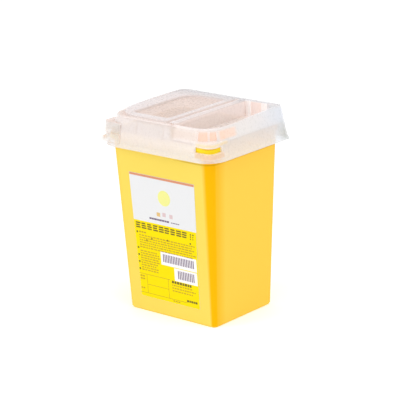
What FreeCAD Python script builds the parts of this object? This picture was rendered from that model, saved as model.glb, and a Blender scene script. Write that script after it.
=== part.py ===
import FreeCAD, Part
import math
import os

# Small sharps container: a tapered yellow body, a pushed-on translucent lid with a hinged flap,
# and a label sheet. Millimetres, +Z up, label face towards -Y, origin at the centre of the base.

V = FreeCAD.Vector

# body
BASE_X, BASE_Y, BASE_R = 92.0, 73.6, 4.6
MOUTH_X, MOUTH_Y, MOUTH_R = 107.4, 88.8, 9.9
MOUTH_Z = 152.6
WALL = 1.6
FLOOR_TOP = 3.0
FOOT_INSET, FOOT_HIGH = 1.3, 1.6
FOOT_RING, FOOT_RECESS = 6.0, 1.0
FLANGE_OUT, FLANGE_HIGH = 1.7, 3.0
HOOK_X, HOOK_Y, HOOK_R = 55.4, 46.1, 9.0
HOOK_IN_X, HOOK_IN_Y = 41.0, 31.0
HOOK_Z0, HOOK_Z1 = 146.5, 151.0

# lid
LID_LOW, SKIRT_TOP, DECK_TOP, TOP_Z = 141.0, 144.5, 165.0, 168.0
LID_WALL, DECK_THICK = 1.3, 1.3
TRAY_Z = 164.0
SKIRT_X, SKIRT_Y = 60.2, 50.0
SHELL_X, SHELL_Y = 58.8, 48.7
UPPER_X, UPPER_FRONT, UPPER_BACK = 54.0, 44.6, 48.4
RIM_X, RIM_FRONT, RIM_BACK = 52.9, 42.2, 48.2
RIM_THICK, LIP_IN = 1.4, 41.1
R_FRONT, R_BACK_RIGHT, R_BACK_LEFT = 17.0, 4.0, 8.0
RIM_LEFT = ((-38.0, 166.0), (-34.0, 165.2), (-24.0, 165.2), (-20.0, 166.7), (-8.0, 167.4), (10.0, 168.0))
RIM_RIGHT = ((-38.0, 166.0), (-20.0, 166.0), (-6.0, 166.3), (6.0, 167.0), (22.0, 167.6), (34.0, 168.0))
EAR_IN_X, EAR_IN_Y, EAR_R = 38.0, -33.0, 6.0
EAR_Z0, EAR_Z1, EAR_Z2, EAR_Z3 = 144.3, 148.4, 152.8, 157.0
LEFT_Z1, LEFT_Z2, LEFT_Z3, LEFT_IN_X = 147.4, 151.6, 160.4, 52.5
FINS, FIN_LOW, FIN_TOP = ((-72.0, 2.6), (-46.0, 1.8), (-25.0, 3.0)), 22.4, 20.5
BAY_X, BAY_FLOOR, DIVIDER, DIVIDER_TOP = 15.4, 154.6, 1.5, 167.5
PILLARS, PILLAR_Y = ((17.4, 22.6), (34.0, 39.2)), 44.4
RIB_THICK, RIB_DEEP, RIB_LOW = 1.4, 3.6, 153.0
RIBS_X, RIBS_Y = (-22.0, 6.0), (-10.0, 22.0)
DROP_X0, DROP_X1, DROP_Y0, DROP_Y1, DROP_R = -44.0, 1.0, -33.0, 38.0, 5.0

# flap
FLAP_X0, FLAP_X1, FLAP_Y0, FLAP_Y1 = -51.0, 6.5, -40.6, 46.0
FLAP_Z0, FLAP_Z1 = 164.3, 167.3
FLAP_WALL = 1.2
FLAP_R = (24.0, 3.0, 3.0, 6.5)
BORDER, BORDER_HINGE, BORDER_FRONT, BORDER_BACK = 13.5, 5.0, 7.6, 8.0
CENTRE_R = (5.0, 3.0, 3.0, 14.0)
AXIS_X, AXIS_Z = 12.4, 166.2
BARREL_R, BARREL_Y0, BARREL_Y1 = 1.6, -38.0, 43.9
PIN_R, PIN_HOLE_R, PIN_LONG = 1.0, 1.05, 2.3
LUG_THICK, LUG_R, LUG_GAP = 3.2, 1.8, 0.3
WEB_Z0, WEB_Z1 = 164.9, 166.1

# label
LABEL_TOP_Z, LABEL_LOW_Z = 120.2, 13.3
LABEL_TOP_HALF, LABEL_LOW_HALF, LABEL_THICK = 34.5, 31.5, 0.2


def outline(x0, x1, y0, y1, z, radii):
    """Closed rectangle wire; radii in the order front left, front right, back right, back left."""
    a, b, c, d = radii
    corners = (
        ((x0 + a, y0 + a), a, 180),
        ((x1 - b, y0 + b), b, 270),
        ((x1 - c, y1 - c), c, 0),
        ((x0 + d, y1 - d), d, 90),
    )
    edges = []
    last = None
    first = None
    for (cx, cy), r, turn in corners:
        points = []
        for step in (0, 45, 90):
            angle = math.radians(turn + step)
            points.append(V(cx + r * math.cos(angle), cy + r * math.sin(angle), z))
        if last is not None:
            edges.append(Part.LineSegment(last, points[0]).toShape())
        edges.append(Part.Arc(points[0], points[1], points[2]).toShape())
        first = first or points[0]
        last = points[2]
    edges.append(Part.LineSegment(last, first).toShape())
    return Part.Wire(edges)


def tier(low, high):
    """Solid between two outlines."""
    return Part.makeLoft([outline(*low), outline(*high)], True, True)


def even(half_x, half_y, z, radius):
    """Outline arguments of a centred rectangle with equal corners."""
    return (-half_x, half_x, -half_y, half_y, z, (radius,) * 4)


def box(x0, x1, y0, y1, z0, z1):
    return Part.makeBox(x1 - x0, y1 - y0, z1 - z0, V(x0, y0, z0))


def rod(radius, x, z, y0, y1):
    """Cylinder along Y."""
    return Part.makeCylinder(radius, y1 - y0, V(x, y0, z), V(0, 1, 0))


def joined(shapes):
    whole = shapes[0]
    for shape in shapes[1:]:
        whole = whole.fuse(shape)
    return whole.removeSplitter()


def body_half(z):
    """Half width, half depth and corner radius of the body's outside at height z."""
    t = z / MOUTH_Z
    x = (BASE_X + (MOUTH_X - BASE_X) * t) / 2
    y = (BASE_Y + (MOUTH_Y - BASE_Y) * t) / 2
    return x, y, BASE_R + (MOUTH_R - BASE_R) * t


def body_outline(z, inset):
    x, y, r = body_half(z)
    return even(x - inset, y - inset, z, max(r - inset, 1.0))


def make_container():
    shell = tier(body_outline(FOOT_HIGH, 0.0), body_outline(MOUTH_Z, 0.0))
    foot = tier(body_outline(0.0, FOOT_INSET), body_outline(FOOT_HIGH, 0.0))
    x, y, r = body_half(MOUTH_Z)
    z0 = MOUTH_Z - FLANGE_HIGH
    flange = tier(
        even(x + FLANGE_OUT, y + FLANGE_OUT, z0, r + FLANGE_OUT),
        even(x + FLANGE_OUT - 0.4, y + FLANGE_OUT - 0.4, MOUTH_Z, r + FLANGE_OUT),
    )
    hook = tier(even(HOOK_X, HOOK_Y, HOOK_Z0, HOOK_R), even(HOOK_X - 0.3, HOOK_Y - 0.3, HOOK_Z1, HOOK_R))
    hook = hook.common(box(HOOK_IN_X, 60, -55, -HOOK_IN_Y, 140, 160))
    hooks = [hook, hook.mirror(V(0, 0, 0), V(1, 0, 0))]
    solid = joined([shell, foot, flange] + hooks)
    hollow = tier(body_outline(FLOOR_TOP, WALL), body_outline(MOUTH_Z + 4, WALL))
    recess = tier(body_outline(-1.0, FOOT_RING), body_outline(FOOT_RECESS, FOOT_RING))
    return solid.cut(hollow).cut(recess).removeSplitter()


def slant(t, inset):
    """Lid wall outline arguments between the skirt (t = 0) and the deck (t = 1)."""
    x = SHELL_X + (UPPER_X - SHELL_X) * t
    y0 = SHELL_Y + (UPPER_FRONT - SHELL_Y) * t
    y1 = SHELL_Y + (UPPER_BACK - SHELL_Y) * t
    z = SKIRT_TOP + (DECK_TOP - SKIRT_TOP) * t
    front = R_FRONT + 2.0 * t - inset
    back = (max(R_BACK_RIGHT - inset, 1.0), R_BACK_LEFT - inset)
    return (-x + inset, x - inset, -y0 + inset, y1 - inset, z, (front, front) + back)


def skirt(z, x, y, inset):
    back = (max(R_BACK_RIGHT - inset, 1.0), R_BACK_LEFT - inset)
    front = R_FRONT - inset
    return (-x + inset, x - inset, -y + inset, y - inset, z, (front, front) + back)


def ear(inset, x_in, y_in, step, top):
    """Block at the front right corner that holds a slot, drawn in by inset."""
    z1, z2 = step - inset, top - inset
    low = tier(
        even(59.7 - inset, 49.5 - inset, EAR_Z0 - (1.0 if inset else 0.0), EAR_R - inset),
        even(59.2 - inset, 49.0 - inset, z1, EAR_R - inset),
    )
    high = tier(
        even(57.6 - inset, 47.6 - inset, z1 - 0.01, EAR_R - inset),
        even(57.0 - inset, 47.0 - inset, z2, EAR_R - inset),
    )
    keep = box(x_in, 62, -52, y_in, 140, 162)
    return low.common(keep).fuse(high.common(keep))


def fins():
    """Three upright fins on top of the front right ear."""
    top = DECK_TOP - 0.7
    profile = [V(14, 0, EAR_Z3 - 1), V(FIN_LOW, 0, EAR_Z3 - 1), V(FIN_TOP, 0, top), V(14, 0, top)]
    plates = []
    for turn, wide in FINS:
        plate = Part.Face(Part.makePolygon(profile + [profile[0]])).extrude(V(0, wide, 0))
        plate.translate(V(0, -wide / 2, 0))
        plate.rotate(V(0, 0, 0), V(0, 0, 1), turn)
        plate.translate(V(35.5, -26.0, 0))
        plates.append(plate.common(ear_space()))
    return plates


def ear_space():
    """The room above the front right ear that its fins may fill."""
    return tier(even(57.0, 47.0, EAR_Z3 - 2, EAR_R), even(56.4, 46.4, 166.0, EAR_R))


def slot_tool():
    """Cutter for the slot that runs round the front right ear."""
    ring = tier(even(60.0, 50.0, EAR_Z1, EAR_R), even(60.0, 50.0, EAR_Z2, EAR_R))
    deep = tier(even(54.5, 44.5, EAR_Z1 - 1, EAR_R - 2), even(54.5, 44.5, EAR_Z2 + 1, EAR_R - 2))
    return ring.cut(deep).common(box(EAR_IN_X + 3.0, 62.0, -52, EAR_IN_Y - LID_WALL, 140, 160))


def ribs():
    """Upright ribs under the deck, whose lower ends sit over the body's rim."""
    top = DECK_TOP - DECK_THICK - 0.6
    bars = []
    for x in RIBS_X:
        x0, x1 = x - RIB_THICK / 2, x + RIB_THICK / 2
        bars.append(box(x0, x1, -52.0, -UPPER_FRONT + RIB_DEEP, RIB_LOW, top))
        bars.append(box(x0, x1, UPPER_BACK - RIB_DEEP, 52.0, RIB_LOW, top))
    for y in RIBS_Y:
        bars.append(box(-60.0, -UPPER_X + RIB_DEEP, y - RIB_THICK / 2, y + RIB_THICK / 2, RIB_LOW, top))
    return bars


def make_lid():
    outer = joined([
        tier(skirt(LID_LOW, SKIRT_X, SKIRT_Y, 0.0), skirt(SKIRT_TOP, SHELL_X, SHELL_Y, 0.0)),
        tier(slant(0.0, 0.0), slant(1.0, 0.0)),
    ])
    wall = outer
    inner_top = (DECK_TOP - DECK_THICK - 1.0 - SKIRT_TOP) / (DECK_TOP - SKIRT_TOP)
    inner = tier(skirt(LID_LOW - 1, SKIRT_X + 0.4, SKIRT_Y + 0.4, LID_WALL),
                 skirt(SKIRT_TOP, SHELL_X, SHELL_Y, LID_WALL))
    inner = inner.fuse(tier(slant(0.0, LID_WALL), slant(inner_top, LID_WALL)))

    hollow = inner
    for side, step, top in ((1, EAR_Z1, EAR_Z3), (-1, LEFT_Z2, LEFT_Z3)):
        blocks = [ear(0.0, EAR_IN_X, EAR_IN_Y, step, top),
                  ear(LID_WALL, EAR_IN_X + LID_WALL, EAR_IN_Y - LID_WALL, step, top)]
        if side < 0:
            blocks = [block.mirror(V(0, 0, 0), V(1, 0, 0)) for block in blocks]
        outer = outer.fuse(blocks[0])
        hollow = hollow.fuse(blocks[1])
    lid = joined([outer] + fins()).cut(hollow)

    # slots for the hooks, one round each front corner
    lid = lid.cut(slot_tool())
    lid = lid.cut(box(-62.0, -LEFT_IN_X, -52.0, EAR_IN_Y - 2.2, LEFT_Z1, LEFT_Z2))
    hook_path = tier(even(HOOK_X + 0.35, HOOK_Y + 0.35, LID_LOW, HOOK_R + 0.35),
                     even(HOOK_X + 0.35, HOOK_Y + 0.35, EAR_Z2, HOOK_R + 0.35))
    for side in (-1, 1):
        ends = sorted((side * (HOOK_IN_X - 0.4), side * 62.0))
        lid = lid.cut(hook_path.common(box(ends[0], ends[1], -52, -HOOK_IN_Y + 0.4, 140, 160)))

    # raised rim, lowest at the front
    rim = tier(slant(1.0, 0.0)[:4] + (DECK_TOP, (19.0, 19.0, 4.0, 8.0)),
               (-RIM_X, RIM_X, -RIM_FRONT, RIM_BACK, TOP_Z, (19.0, 19.0, 4.0, 8.0)))
    pocket_r = (17.6, 17.6, 2.6, 6.6)
    low, high = UPPER_X - RIM_THICK, RIM_X - RIM_THICK
    rim_in = tier((-low, low, -LIP_IN, UPPER_BACK - RIM_THICK, TRAY_Z - 1, pocket_r),
                  (-high, high, -LIP_IN, RIM_BACK - RIM_THICK, TOP_Z + 1, pocket_r))
    rim = rim.cut(rim_in)
    for x, steps in ((-62.0, RIM_LEFT), (0.0, RIM_RIGHT)):
        points = ((-60.0, steps[0][1]),) + steps + ((steps[-1][0], 175.0), (-60.0, 175.0))
        line = [V(x, y, z) for y, z in points]
        rim = rim.cut(Part.Face(Part.makePolygon(line + [line[0]])).extrude(V(62, 0, 0)))

    # bay at the right: floor, divider and two pillars on the back wall
    inside = inner.common(box(BAY_X, 60, -50, 50, BAY_FLOOR - LID_WALL, DECK_TOP - 0.5))
    floor = inside.common(box(BAY_X, 60, -50, 50, BAY_FLOOR - LID_WALL, BAY_FLOOR))
    divider = inside.common(box(BAY_X, BAY_X + DIVIDER, -50, 50, BAY_FLOOR - LID_WALL, TRAY_Z))
    ridge = box(BAY_X, BAY_X + DIVIDER, -LIP_IN - 0.4, RIM_BACK - 0.9, TRAY_Z - 1.0, DIVIDER_TOP)
    pillars = [box(x0, x1, PILLAR_Y, 47.6, BAY_FLOOR - 0.6, TOP_Z - 0.8) for x0, x1 in PILLARS]
    room = (-UPPER_X + 1.3, UPPER_X - 1.3, -LIP_IN, UPPER_BACK - 1.3)
    room_r = (17.0, 17.0, 2.8, 6.7)
    room = tier(room + (BAY_FLOOR, room_r), room + (TOP_Z + 1, room_r))
    mouth = room.common(box(BAY_X + DIVIDER, 60, -50, 50, BAY_FLOOR, TOP_Z + 1))
    tray = room.common(box(-60, BAY_X + DIVIDER, -50, 50, TRAY_Z, TOP_Z + 1))
    lid = lid.cut(mouth).cut(tray)
    lid = joined([lid, rim, floor, divider, ridge] + pillars + [rib.common(wall) for rib in ribs()])

    # drop opening in the deck under the flap
    drop = (DROP_X0, DROP_X1, DROP_Y0, DROP_Y1)
    lid = lid.cut(tier(drop + (150.0, (DROP_R,) * 4), drop + (166.0, (DROP_R,) * 4)))

    # hinge lugs
    lugs = []
    holes = []
    for y0 in (BARREL_Y0 - LUG_GAP - LUG_THICK, BARREL_Y1 + LUG_GAP):
        y1 = y0 + LUG_THICK
        lugs.append(rod(LUG_R, AXIS_X, AXIS_Z, y0, y1))
        lugs.append(box(AXIS_X - LUG_R, AXIS_X + LUG_R, y0, y1, TRAY_Z - 0.8, AXIS_Z))
        holes.append(rod(PIN_HOLE_R, AXIS_X, AXIS_Z, y0 - LUG_GAP, y1 + LUG_GAP))
    return joined([lid] + lugs).cut(holes[0]).cut(holes[1]).removeSplitter()


def inset(sides, radii, by):
    """Rectangle sides and corner radii drawn in by a distance."""
    x0, x1, y0, y1 = sides
    return (x0 + by, x1 - by, y0 + by, y1 - by), tuple(r - by for r in radii)


def make_flap():
    sides = (FLAP_X0, FLAP_X1, FLAP_Y0, FLAP_Y1)
    under, under_r = inset(sides, FLAP_R, FLAP_WALL)
    centre = (FLAP_X0 + BORDER, FLAP_X1 - BORDER_HINGE, FLAP_Y0 + BORDER_FRONT, FLAP_Y1 - BORDER_BACK)
    grown, grown_r = inset(centre, CENTRE_R, -FLAP_WALL)
    cap = tier(sides + (FLAP_Z0, FLAP_R), sides + (FLAP_Z1, FLAP_R))
    cap = cap.cut(tier(under + (FLAP_Z0 - 1, under_r), under + (FLAP_Z1 - FLAP_WALL, under_r)))
    cap = cap.fuse(tier(grown + (FLAP_Z0, grown_r), grown + (FLAP_Z1, grown_r)))
    cap = cap.cut(tier(centre + (FLAP_Z0 + FLAP_WALL, CENTRE_R), centre + (FLAP_Z1 + 1, CENTRE_R)))
    parts = [cap]

    # thumb tab on the rounded front left corner
    reach = FLAP_R[0] * (1 - math.cos(math.radians(45)))
    tab = outline_block(-7.0, 7.0, -4.0, 2.6, FLAP_Z0, FLAP_Z0 + FLAP_WALL, (1.0, 1.0, 3.0, 3.0))
    tab.rotate(V(0, 0, 0), V(0, 0, 1), 135)
    tab.translate(V(FLAP_X0 + reach, FLAP_Y0 + reach, 0))
    parts.append(tab)

    # web, barrel and pins of the hinge
    parts.append(box(FLAP_X1 - 0.6, AXIS_X, BARREL_Y0, BARREL_Y1, WEB_Z0, WEB_Z1))
    parts.append(rod(BARREL_R, AXIS_X, AXIS_Z, BARREL_Y0, BARREL_Y1))
    parts.append(rod(PIN_R, AXIS_X, AXIS_Z, BARREL_Y0 - PIN_LONG, BARREL_Y1 + PIN_LONG))
    return joined(parts)


def outline_block(x0, x1, y0, y1, z0, z1, radii):
    return tier((x0, x1, y0, y1, z0, radii), (x0, x1, y0, y1, z1, radii))


def make_label():
    """Trapezoid sheet lying on the sloping front face."""
    corners = []
    for half, z in ((LABEL_LOW_HALF, LABEL_LOW_Z), (LABEL_TOP_HALF, LABEL_TOP_Z)):
        corners.append((half, -body_half(z)[1], z))
    (low, low_y, low_z), (top, top_y, top_z) = corners
    loop = [V(-low, low_y, low_z), V(low, low_y, low_z), V(top, top_y, top_z), V(-top, top_y, top_z)]
    sheet = Part.Face(Part.makePolygon(loop + [loop[0]]))
    slope = math.atan2(low_y - top_y, top_z - low_z)
    normal = V(0, -math.cos(slope), -math.sin(slope))
    sheet.translate(normal * 0.01)
    return sheet.extrude(normal * LABEL_THICK)


os.makedirs("parts", exist_ok=True)
nodes = {
    "container": make_container(),
    "lid": make_lid(),
    "flap": make_flap(),
    "label": make_label(),
}
for name, shape in nodes.items():
    shape.exportStep("parts/" + name + ".step")
    size = shape.BoundBox
    print(name, "solids", len(shape.Solids), "valid", shape.isValid(), "volume", round(shape.Volume),
          "x", round(size.XMin, 2), round(size.XMax, 2), "y", round(size.YMin, 2), round(size.YMax, 2),
          "z", round(size.ZMin, 2), round(size.ZMax, 2))
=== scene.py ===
import math
import random

import bpy
from mathutils import Matrix, Vector


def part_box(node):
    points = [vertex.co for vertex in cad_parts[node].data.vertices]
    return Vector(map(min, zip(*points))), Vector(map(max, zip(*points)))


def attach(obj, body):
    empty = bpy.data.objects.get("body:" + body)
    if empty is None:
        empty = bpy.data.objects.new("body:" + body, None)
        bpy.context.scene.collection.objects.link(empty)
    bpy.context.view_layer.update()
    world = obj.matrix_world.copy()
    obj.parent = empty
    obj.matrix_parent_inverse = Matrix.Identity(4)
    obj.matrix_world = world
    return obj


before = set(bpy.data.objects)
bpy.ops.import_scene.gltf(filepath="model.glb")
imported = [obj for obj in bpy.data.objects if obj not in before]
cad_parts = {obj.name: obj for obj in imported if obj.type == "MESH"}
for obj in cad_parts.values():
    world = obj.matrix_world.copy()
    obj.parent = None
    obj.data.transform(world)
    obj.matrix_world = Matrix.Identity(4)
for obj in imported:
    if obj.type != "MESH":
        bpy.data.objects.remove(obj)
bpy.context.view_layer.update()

# camera: where it stands and what it looks at, in metres and degrees; AIM turns it slightly off the target
AZIMUTH, ELEVATION, ROLL = 41.075, 17.139, -2.177
DISTANCE, LENS, SENSOR = 1.634, 180.0, 36.0
TARGET = Vector((0.0, 0.0, 0.084))
AIM_RIGHT, AIM_UP = 0.00125, 0.00401

# colours, linear
FRONT_SHEEN_A, FRONT_SHEEN_B = (0.85, 0.645, 0.105), (0.87, 0.665, 0.120)
SIDE, CORNER_SHADE, HOOK_LIGHT = (0.95, 0.60, 0.070), (0.91, 0.47, 0.0), (1.0, 0.78, 0.03)
LID_SHADOW = (0.45, 0.26, 0.01)
MILK_A, MILK_B = (0.885, 0.84, 0.83), (0.915, 0.875, 0.87)
WARM_LIGHT, BAY_LIGHT, BACK, CELL = (0.88, 0.73, 0.67), (1.0, 0.92, 0.90), (0.92, 0.73, 0.66), (0.96, 0.67, 0.51)
PILLAR_HIGHLIGHT, RIM, LIP = (1.0, 0.99, 0.98), (0.98, 0.80, 0.45), (0.78, 0.55, 0.38)
TOP, SKIRT, EDGE = (0.93, 0.90, 0.93), (0.76, 0.735, 0.735), (0.70, 0.71, 0.74)
RIGHT, BEHIND, LEFT = (0.77, 0.765, 0.755), (0.69, 0.74, 0.82), (0.68, 0.66, 0.71)
COOL, HEEL = (0.66, 0.69, 0.73), (0.54, 0.58, 0.58)
FRONT, EAR = (0.83, 0.73, 0.66), (0.72, 0.70, 0.68)
PAPER_WHITE = (0.735, 0.74, 0.755)
GLOW_TINT, GLOW, MILK_ALPHA = (1.0, 0.90, 0.86, 1.0), 0.08, 0.55

# places where a plastic's tint changes, in the part's frame, metres: low and high
CORNER_X, CORNER_Y = 0.0355, -0.026
LID_SHADOW_Z = (0.1372, 0.1386)
HOOKS_X, HOOKS_Y, HOOKS_Z = (0.0405, 0.0410), (-0.0315, -0.0310), (0.1464, 0.1512)
PILLARS_X, PILLARS_Y, PILLARS_Z = (0.0170, 0.0396), (0.0436, 0.0452), (0.1545, 0.1550)
FLAP_STEPS_X, FLAP_STEPS_Z = (0.0100, 0.0110), (0.1641, 0.1643)
SUNKEN_Z, TOP_BORDER_Z, SKIRT_Z = (0.1662, 0.1667), (0.1664, 0.1668), (0.1440, 0.1500)
BAY_START_X, BAY_END_X, BACK_WALL_Y = (0.0150, 0.0156), (0.0391, 0.0393), (0.0436, 0.0440)
BY_BAY_X, BY_BAY_Z = (0.0125, 0.0160), (0.1560, 0.1650)
EAR_END_X, EAR_BACK_Y, EAR_TOP_Z = (-0.0384, -0.0376), (-0.035, -0.030), (0.1604, 0.1607)
CELLS_Z, RIM_Z, LIP_Z = (0.1572, 0.1640), (0.1536, 0.1558), (0.1446, 0.1483)
PATCH_Y = (-0.0330, -0.0140)
SHARP = 0.0002

# print: millimetre, the paper's thickness, how far ink starts inside it, and the heading's three rows
MM = 0.001
PAPER, SUNK = 0.0002, 0.00004
ROW_STEP, ROW_HALF = 1.9, 0.6

# studio: the lights' size and the point that they aim at, metres
LIGHT_SIZE = 1.4
MIDDLE, UPPER = (0, 0, 0.08), (0, 0, 0.1)


def new_material(name):
    mat = bpy.data.materials.new(name)
    mat.use_nodes = True
    tree = mat.node_tree
    tree.nodes.clear()
    out = tree.nodes.new("ShaderNodeOutputMaterial")
    shader = tree.nodes.new("ShaderNodeBsdfPrincipled")
    tree.links.new(shader.outputs["BSDF"], out.inputs["Surface"])
    return mat, tree, shader


def noise(tree, scale, detail=3.0, rough=0.5):
    """Noise in object coordinates, in metres."""
    place = tree.nodes.new("ShaderNodeTexCoord")
    tex = tree.nodes.new("ShaderNodeTexNoise")
    tex.inputs["Scale"].default_value = scale
    tex.inputs["Detail"].default_value = detail
    tex.inputs["Roughness"].default_value = rough
    tree.links.new(place.outputs["Object"], tex.inputs["Vector"])
    return tex


def ramp(tree, source, low, high, a, b):
    """Runs from a to b while the source runs from low to high."""
    node = tree.nodes.new("ShaderNodeMapRange")
    node.inputs["From Min"].default_value = low
    node.inputs["From Max"].default_value = high
    node.inputs["To Min"].default_value = a
    node.inputs["To Max"].default_value = b
    tree.links.new(source, node.inputs["Value"])
    return node.outputs["Result"]


def rise(tree, source, low, high, top=1.0):
    return ramp(tree, source, low, high, 0.0, top)


def fall(tree, source, low, high, top=1.0):
    return ramp(tree, source, low, high, top, 0.0)


def colours(tree, factor, a, b):
    """Mix of two colours, each one a socket or three numbers."""
    mix = tree.nodes.new("ShaderNodeMix")
    mix.data_type = "RGBA"
    for name, colour in (("A", a), ("B", b)):
        if isinstance(colour, tuple):
            mix.inputs[name].default_value = (*colour, 1.0)
        else:
            tree.links.new(colour, mix.inputs[name])
    tree.links.new(factor, mix.inputs["Factor"])
    return mix.outputs["Result"]


def bump(tree, shader, height, strength, distance):
    node = tree.nodes.new("ShaderNodeBump")
    node.inputs["Strength"].default_value = strength
    node.inputs["Distance"].default_value = distance
    tree.links.new(height, node.inputs["Height"])
    tree.links.new(node.outputs["Normal"], shader.inputs["Normal"])


def maths(tree, operation, a, b):
    """One maths node; a and b are sockets or numbers."""
    node = tree.nodes.new("ShaderNodeMath")
    node.operation = operation
    for socket, value in zip(node.inputs, (a, b)):
        if isinstance(value, float):
            socket.default_value = value
        else:
            tree.links.new(value, socket)
    return node.outputs["Value"]


def product(tree, first, *others):
    for other in others:
        first = maths(tree, "MULTIPLY", first, other)
    return first


def inverse(tree, value):
    """One minus the value."""
    return maths(tree, "SUBTRACT", 1.0, value)


def absolute(tree, value):
    return maths(tree, "ABSOLUTE", value, 0.0)


def between(tree, value, low, high, soft):
    """One where the value lies between low and high, with soft ends."""
    start = rise(tree, value, low - soft, low + soft)
    return product(tree, start, fall(tree, value, high - soft, high + soft))


def split(tree, kind):
    """X, Y and Z of the object coordinates or of the normal."""
    coord = tree.nodes.new("ShaderNodeTexCoord")
    parts = tree.nodes.new("ShaderNodeSeparateXYZ")
    tree.links.new(coord.outputs[kind], parts.inputs["Vector"])
    return parts.outputs["X"], parts.outputs["Y"], parts.outputs["Z"]


def facing_out(tree, nx, ny, x, y):
    """Large on faces that look away from the part's upright axis, below zero on faces that look at it."""
    return maths(tree, "ADD", product(tree, nx, x), product(tree, ny, y))


def yellow_plastic():
    """Paler on the front from a painted sheen, warmer on the other faces, deepest on the front right
    corner below the lid from painted shade; painted light on the hooks and a painted shadow under the
    lid's edge.
    """
    mat, tree, shader = new_material("yellow_plastic")
    broad = noise(tree, 14.0, 2.0)
    fine = noise(tree, 900.0, 4.0, 0.6)
    nx, ny = split(tree, "Normal")[:2]
    x, y, z = split(tree, "Object")
    outer = rise(tree, facing_out(tree, nx, ny, x, y), 0.0, 0.01)

    # painted sheen: the front is paler, its two tones differing at random; the other faces keep the warmer
    # colour
    front = colours(tree, rise(tree, broad.outputs["Fac"], 0.3, 0.7), FRONT_SHEEN_A, FRONT_SHEEN_B)
    colour = colours(tree, rise(tree, ny, -0.98, -0.75), front, SIDE)

    # painted shade: the corner's deep colour, without the faces' sheen, fades out over the right face; the
    # other corners show a quarter of it
    right_front = product(tree, rise(tree, x, -0.01, 0.01), fall(tree, y, -0.01, 0.01))
    turn = rise(tree, absolute(tree, product(tree, nx, ny)), 0.0, 0.34)
    turn = product(tree, turn, ramp(tree, product(tree, right_front, outer), 0.0, 1.0, 0.25, 1.0))
    past = maths(tree, "ADD", y, product(tree, z, 0.0151))
    fade = product(tree, fall(tree, past, -0.0322, -0.0232, 0.70), rise(tree, nx, 0.6, 0.9))
    fade = product(tree, fade, outer, right_front)
    corner_shade = product(tree, maths(tree, "MAXIMUM", turn, fade), fall(tree, z, 0.1445, 0.1455))
    colour = colours(tree, corner_shade, colour, CORNER_SHADE)

    # painted shadow: a thin dark line where the lid's edge sits, on the front and right
    lid_shadow = product(tree, between(tree, z, *LID_SHADOW_Z, 0.0003), rise(tree, x, 0.012, 0.028, 0.45))
    colour = colours(tree, product(tree, lid_shadow, fall(tree, ny, 0.2, 0.6), outer), colour, LID_SHADOW)

    # painted light on the outer faces of the two hooks, which sit in the slots' shade
    lit_hooks = product(tree, rise(tree, absolute(tree, x), *HOOKS_X), fall(tree, y, *HOOKS_Y), outer,
                    between(tree, z, *HOOKS_Z, SHARP))
    colour = colours(tree, lit_hooks, colour, HOOK_LIGHT)

    tree.links.new(colour, shader.inputs["Base Color"])
    tree.links.new(ramp(tree, fine.outputs["Fac"], 0.3, 0.7, 0.36, 0.46), shader.inputs["Roughness"])
    shader.inputs["Specular IOR Level"].default_value = 0.05
    bump(tree, shader, fine.outputs["Fac"], 0.05, 0.0002)
    return mat


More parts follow.
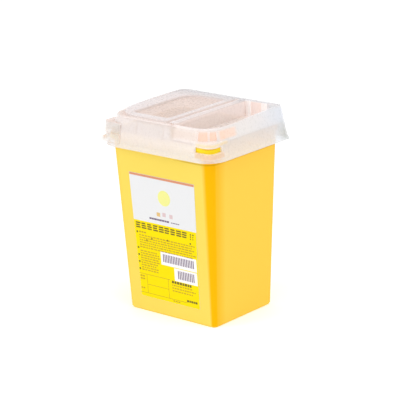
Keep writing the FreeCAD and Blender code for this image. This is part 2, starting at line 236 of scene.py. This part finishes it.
def clear_plastic():
    """Milky outside and on the ridges, with painted light and shade: warmer on the sunken and inner faces
    and behind the corner fins, where the yellow body's light comes through, and lighter and darker patches
    on the outer faces.
    """
    mat, tree, shader = new_material("clear_plastic")
    broad = noise(tree, 25.0)
    fine = noise(tree, 500.0, 3.0, 0.5)
    nx, ny, nz = split(tree, "Normal")
    x, y, z = split(tree, "Object")
    inner = fall(tree, facing_out(tree, nx, ny, x, y), 0.030, 0.040)
    outer = inverse(tree, inner)

    # painted warm light on the sunken and inner faces, but not the pillars, the left ear's end or the
    # flap's steps
    # painted highlight: the pillars' faces, painted near white
    pillar_highlight = product(tree, between(tree, y, *PILLARS_Y, SHARP), between(tree, x, *PILLARS_X, SHARP),
                     rise(tree, z, *PILLARS_Z))
    ear_end = product(tree, between(tree, x, *EAR_END_X, SHARP), rise(tree, nx, 0.8, 0.9))
    steps = product(tree, fall(tree, nz, 0.5, 0.8), rise(tree, z, *FLAP_STEPS_Z),
                    fall(tree, x, *FLAP_STEPS_X, 0.8))
    plain = maths(tree, "MAXIMUM", ear_end, steps)
    sunken = fall(tree, z, *SUNKEN_Z)
    warm_light = product(tree, inner, sunken, inverse(tree, pillar_highlight), inverse(tree, plain))

    # painted light and shade inside the bay: lighter on its walls and floor, peach on its back wall, and a
    # darker, cooler tone on that wall's last stretch on the right
    in_bay = rise(tree, x, *BAY_START_X)
    at_back = product(tree, in_bay, rise(tree, y, *BACK_WALL_Y))
    inside = colours(tree, in_bay, WARM_LIGHT, BAY_LIGHT)
    inside = colours(tree, at_back, inside, BACK)
    inside = colours(tree, product(tree, at_back, rise(tree, x, *BAY_END_X)), inside, COOL)
    milk = colours(tree, rise(tree, broad.outputs["Fac"], 0.3, 0.7), MILK_A, MILK_B)
    colour = colours(tree, warm_light, milk, inside)

    # painted light and shade on the outer faces, from the widest patch to the smallest: lighter tops;
    # darker skirt, right side and its back end, left end and left ear; a warmer, darker front by the bay;
    # a darker back edge on top; painted highlights on the pillars
    top = rise(tree, z, *TOP_BORDER_Z)
    right = product(tree, outer, rise(tree, nx, 0.5, 0.9))
    by_bay = product(tree, fall(tree, ny, -0.85, -0.50), rise(tree, x, *BY_BAY_X), outer,
                     between(tree, z, *BY_BAY_Z, 0.0025))
    left_ear = product(tree, fall(tree, x, *EAR_END_X), fall(tree, z, *EAR_TOP_Z), outer,
                       fall(tree, y, *EAR_BACK_Y))
    patches = (
        (product(tree, top, rise(tree, nz, 0.6, 0.9)), TOP),
        (product(tree, outer, fall(tree, z, *SKIRT_Z)), SKIRT),
        (right, RIGHT),
        (product(tree, right, rise(tree, y, 0.0, 0.045)), BEHIND),
        (product(tree, right, rise(tree, y, 0.034, 0.043), fall(tree, z, 0.148, 0.159)), HEEL),
        (by_bay, FRONT),
        (product(tree, outer, fall(tree, x, -0.055, -0.049)), LEFT),
        (left_ear, EAR),
        (product(tree, top, rise(tree, y, 0.030, 0.044)), EDGE),
        (pillar_highlight, PILLAR_HIGHLIGHT),
    )
    for factor, tint in patches:
        colour = colours(tree, factor, colour, tint)

    # around the front right corner: the yellow body's colour painted as light coming through the walls
    # behind the fins and a patch beside them, then the body's rim showing through, then the lip under the
    # slot
    across = maths(tree, "SUBTRACT", x, CORNER_X)
    along = maths(tree, "SUBTRACT", y, CORNER_Y)
    far = maths(tree, "ADD", maths(tree, "POWER", across, 2.0), maths(tree, "POWER", along, 2.0))
    far = maths(tree, "SQRT", far, 0.0)
    round_corner = product(tree, rise(tree, across, 0.0055, 0.0065), fall(tree, along, -0.0015, 0.0015),
                           rise(tree, far, 0.0165, 0.0170))
    edge = maths(tree, "ADD", far, product(tree, z, 0.24))
    wall = product(tree, round_corner, fall(tree, edge, 0.0591, 0.0595))
    patch = product(tree, between(tree, y, *PATCH_Y, 0.0020), rise(tree, across, 0.015, 0.016, 0.8))
    cells = product(tree, maths(tree, "MAXIMUM", wall, patch), between(tree, z, *CELLS_Z, 0.0008))
    colour = colours(tree, cells, colour, CELL)
    rim = product(tree, round_corner, between(tree, z, *RIM_Z, 0.0004), 0.7)
    colour = colours(tree, rim, colour, RIM)
    lip = product(tree, rise(tree, far, 0.0165, 0.0170, 0.75), between(tree, z, *LIP_Z, 0.0004),
                  rise(tree, across, 0.0055, 0.0075), fall(tree, along, -0.0085, -0.0065))
    colour = colours(tree, lip, colour, LIP)

    tree.links.new(colour, shader.inputs["Base Color"])
    tree.links.new(ramp(tree, fine.outputs["Fac"], 0.3, 0.7, 0.24, 0.34), shader.inputs["Roughness"])
    shader.inputs["Alpha"].default_value = MILK_ALPHA
    # painted light: a faint warm glow that stands in for light scattered in the milky plastic
    shader.inputs["Emission Color"].default_value = GLOW_TINT
    shader.inputs["Emission Strength"].default_value = GLOW
    bump(tree, shader, fine.outputs["Fac"], 0.03, 0.0002)
    return mat


def printed(name, tint, spread=0.03, shine=0.15):
    """Ink or paper with a faint grain."""
    mat, tree, shader = new_material(name)
    fine = noise(tree, 1500.0, 3.0, 0.6)
    light = tuple(min(1.0, c + spread) for c in tint)
    tree.links.new(colours(tree, fine.outputs["Fac"], tint, light), shader.inputs["Base Color"])
    tree.links.new(ramp(tree, fine.outputs["Fac"], 0.3, 0.7, 0.36, 0.46), shader.inputs["Roughness"])
    shader.inputs["Specular IOR Level"].default_value = shine
    return mat


def give(node, mat):
    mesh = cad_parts[node].data
    mesh.materials.clear()
    mesh.materials.append(mat)


give("container", yellow_plastic())
CLEAR = clear_plastic()
give("lid", CLEAR)
give("flap", CLEAR)
give("label", printed("label_paper", PAPER_WHITE))


class Print:
    """Flat ink shapes laid on the label's front face; x and z in the part's frame, in millimetres."""

    def __init__(self, name, lift):
        self.name, self.lift = name, lift * MM
        self.verts, self.faces = [], []

    def shape(self, outline):
        """A thin closed plate over a convex outline, listed counter-clockwise as seen from the front."""
        first, count = len(self.verts), len(outline)
        for lift in (-SUNK, self.lift):
            for x, z in outline:
                self.verts.append(on_label(x * MM, z * MM, lift))
        self.faces.append(tuple(range(first + count - 1, first - 1, -1)))
        self.faces.append(tuple(range(first + count, first + 2 * count)))
        for k in range(count):
            after = (k + 1) % count
            self.faces.append((first + k, first + after, first + count + after, first + count + k))

    def bar(self, x0, x1, z0, z1):
        self.shape([(x0, z0), (x1, z0), (x1, z1), (x0, z1)])

    def disc(self, x, z, radius, sides=40):
        turns = [2 * math.pi * k / sides for k in range(sides)]
        self.shape([(x + radius * math.cos(t), z + radius * math.sin(t)) for t in turns])

    def words(self, x0, x1, z, high, widths, gap):
        """A row of plain blocks standing in for a line of print."""
        x = x0
        while x < x1 - widths[0]:
            wide = min(rng.uniform(*widths), x1 - x)
            self.bar(x, x + wide, z - high / 2, z + high / 2)
            x += wide + gap

    def blocks(self, x0, x1, z, pitch):
        """A row of large blocks of three bars each, standing in for a heading."""
        for k in range(int((x1 - x0) / pitch)):
            left = x0 + pitch * k
            for row in (-ROW_STEP, 0.0, ROW_STEP):
                right = left + pitch - rng.uniform(0.9, 2.2)
                self.bar(left, right, z + row - ROW_HALF, z + row + ROW_HALF)

    def done(self, tint, spread=0.02, shine=0.15):
        mesh = bpy.data.meshes.new(self.name)
        mesh.from_pydata(self.verts, [], self.faces)
        mesh.materials.append(printed(self.name, tint, spread, shine))
        obj = bpy.data.objects.new(self.name, mesh)
        bpy.context.scene.collection.objects.link(obj)
        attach(obj, "body")


def on_label(x, z, lift):
    """A point over the label's front face, lift metres away from it."""
    low, high = LABEL_BOX
    t = (z - low[2]) / (high[2] - low[2])
    y_low, y_high = high[1] - PAPER, low[1]
    return (x, y_low + (y_high - y_low) * t - lift, z)


def label_print():
    """Generic print: plain blocks, bars and a disc where a label carries its text and marks."""
    band = Print("print_band", 0.05)
    band.shape([(-34.2, 118.2), (34.2, 118.1), (34.3, 120.0), (-34.3, 120.0)])
    band.done((0.64, 0.26, 0.14))

    ground = Print("print_ground", 0.04)
    ground.shape([(-31.4, 13.4), (31.4, 13.4), (33.3, 79.7), (-33.3, 79.7)])
    ground.done((0.87, 0.70, 0.002), 0.004, 0.03)

    mark = Print("print_mark", 0.05)
    mark.disc(1.5, 103.0, 6.6)
    mark.done((0.80, 0.79, 0.27))

    orange = Print("print_orange", 0.05)
    orange.bar(-7.6, -4.0, 86.5, 89.9)
    orange.done((0.70, 0.47, 0.19))

    pink = Print("print_pink", 0.05)
    pink.bar(-1.4, 2.0, 87.2, 90.6)
    pink.bar(5.9, 9.3, 86.8, 90.2)
    pink.done((0.66, 0.50, 0.51))

    white = Print("print_white", 0.06)
    white.bar(-6.7, 31.2, 45.2, 56.4)
    white.bar(6.8, 31.0, 33.6, 44.6)
    white.done((0.88, 0.86, 0.89))

    codes = Print("print_stripes", 0.08)
    for x0, x1, z0, z1 in ((-4.4, 29.0, 47.8, 54.6), (10.6, 28.6, 35.8, 43.0)):
        count = int((x1 - x0) / 1.7)
        for k in range(count):
            x = x0 + (x1 - x0) * k / count
            codes.bar(x, x + 1.0, z0, z1)
    codes.words(-15.8, 6.0, 83.6, 1.5, (1.6, 3.6), 0.4)
    codes.words(7.0, 17.0, 83.4, 0.7, (1.6, 3.6), 0.4)
    codes.done((0.17, 0.12, 0.20))

    dark = Print("print_dark", 0.06)
    dark.blocks(-31.4, 24.4, 75.6, 6.2)
    dark.blocks(26.4, 31.6, 75.0, 2.6)
    dark.words(3.3, 26.0, 32.0, 2.2, (1.4, 2.6), 0.6)
    for z in (69.4, 55.7, 49.6, 43.5, 37.3):
        dark.disc(-30.6, z, 0.9, 12)
    for x, z in ((-20.7, 63.4), (-15.0, 65.7), (1.9, 67.3), (26.2, 69.0)):
        dark.disc(x, z, 0.8, 12)
    dark.words(18.1, 29.7, 18.4, 1.8, (1.4, 2.6), 0.4)
    dark.done((0.16, 0.12, 0.012), 0.01)

    small = Print("print_small", 0.06)
    small.words(-28.7, -20.0, 69.8, 1.3, (1.0, 2.6), 0.6)
    for k in range(6):
        small.words(-28.6, (31.0, 28.0)[k % 2], 67.0 - 2.05 * k, 1.05, (1.0, 3.4), 0.7)
    for k in range(9):
        small.words(-28.6, -8.0 - 4.0 * rng.random(), 53.4 - 2.05 * k, 1.05, (1.0, 3.2), 0.7)
    for z, x1 in ((29.2, 26.0), (26.8, 28.0), (24.4, 25.0), (15.4, 12.0)):
        small.words(3.3, x1, z, 1.05, (1.0, 3.0), 0.7)
    for z in (31.2, 28.8, 20.6):
        small.words(-31.0, -25.0, z, 1.3, (1.4, 2.2), 0.6)
    for x0, x1, z in ((-32.0, 1.2, 33.3), (-23.8, -0.7, 24.6), (-31.6, 18.7, 16.8)):
        small.bar(x0, x1, z - 0.2, z + 0.2)
    for x in (-23.8, -0.7):
        small.bar(x - 0.2, x + 0.2, 16.8, 33.3)
    small.done((0.52, 0.34, 0.01), 0.01)


LABEL_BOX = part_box("label")
rng = random.Random(7)
label_print()


def floor():
    mesh = bpy.data.meshes.new("floor")
    half = 6.0
    corners = [(-half, -half, 0), (half, -half, 0), (half, half, 0), (-half, half, 0)]
    mesh.from_pydata(corners, [], [(0, 1, 2, 3)])
    obj = bpy.data.objects.new("floor", mesh)
    bpy.context.scene.collection.objects.link(obj)
    mat, tree, shader = new_material("floor")
    shader.inputs["Base Color"].default_value = (0.97, 0.97, 0.97, 1.0)
    shader.inputs["Roughness"].default_value = 0.9
    shader.inputs["Emission Color"].default_value = (1.0, 1.0, 1.0, 1.0)
    shader.inputs["Emission Strength"].default_value = 0.24
    mesh.materials.append(mat)


def area_light(name, place, aim, watts):
    light = bpy.data.lights.new(name, "AREA")
    light.shape = "SQUARE"
    light.size = LIGHT_SIZE
    light.energy = watts
    obj = bpy.data.objects.new(name, light)
    bpy.context.scene.collection.objects.link(obj)
    obj.location = place
    obj.rotation_euler = (Vector(aim) - Vector(place)).to_track_quat("-Z", "Y").to_euler()


def camera():
    a, e, r = (math.radians(v) for v in (AZIMUTH, ELEVATION, ROLL))
    outward = Vector((math.sin(a) * math.cos(e), -math.cos(a) * math.cos(e), math.sin(e)))
    right = Vector((math.cos(a), math.sin(a), 0.0))
    up = outward.cross(right)
    right, up = right * math.cos(r) + up * math.sin(r), up * math.cos(r) - right * math.sin(r)
    back = (outward - right * AIM_RIGHT - up * AIM_UP).normalized()
    right = up.cross(back).normalized()
    up = back.cross(right)
    data = bpy.data.cameras.new("camera")
    data.lens = LENS
    data.sensor_width = SENSOR
    data.clip_start = 0.05
    data.clip_end = 50.0
    obj = bpy.data.objects.new("camera", data)
    bpy.context.scene.collection.objects.link(obj)
    turn = Matrix((right, up, back)).transposed().to_4x4()
    obj.matrix_world = Matrix.Translation(outward * DISTANCE + TARGET) @ turn
    bpy.context.scene.camera = obj


floor()
area_light("key", (-1.1, -1.5, 1.2), MIDDLE, 12.3)
area_light("fill", (1.7, -0.2, 0.9), MIDDLE, 2.45)
area_light("top", (0.7, -0.2, 1.8), UPPER, 9.7)
area_light("back", (0.2, 2.0, 0.7), MIDDLE, 4.0)
camera()

world = bpy.data.worlds.new("studio")
world.use_nodes = True
world.node_tree.nodes["Background"].inputs["Color"].default_value = (1.0, 1.0, 1.0, 1.0)
world.node_tree.nodes["Background"].inputs["Strength"].default_value = 0.69
bpy.context.scene.world = world
bpy.context.scene.view_settings.view_transform = "Standard"
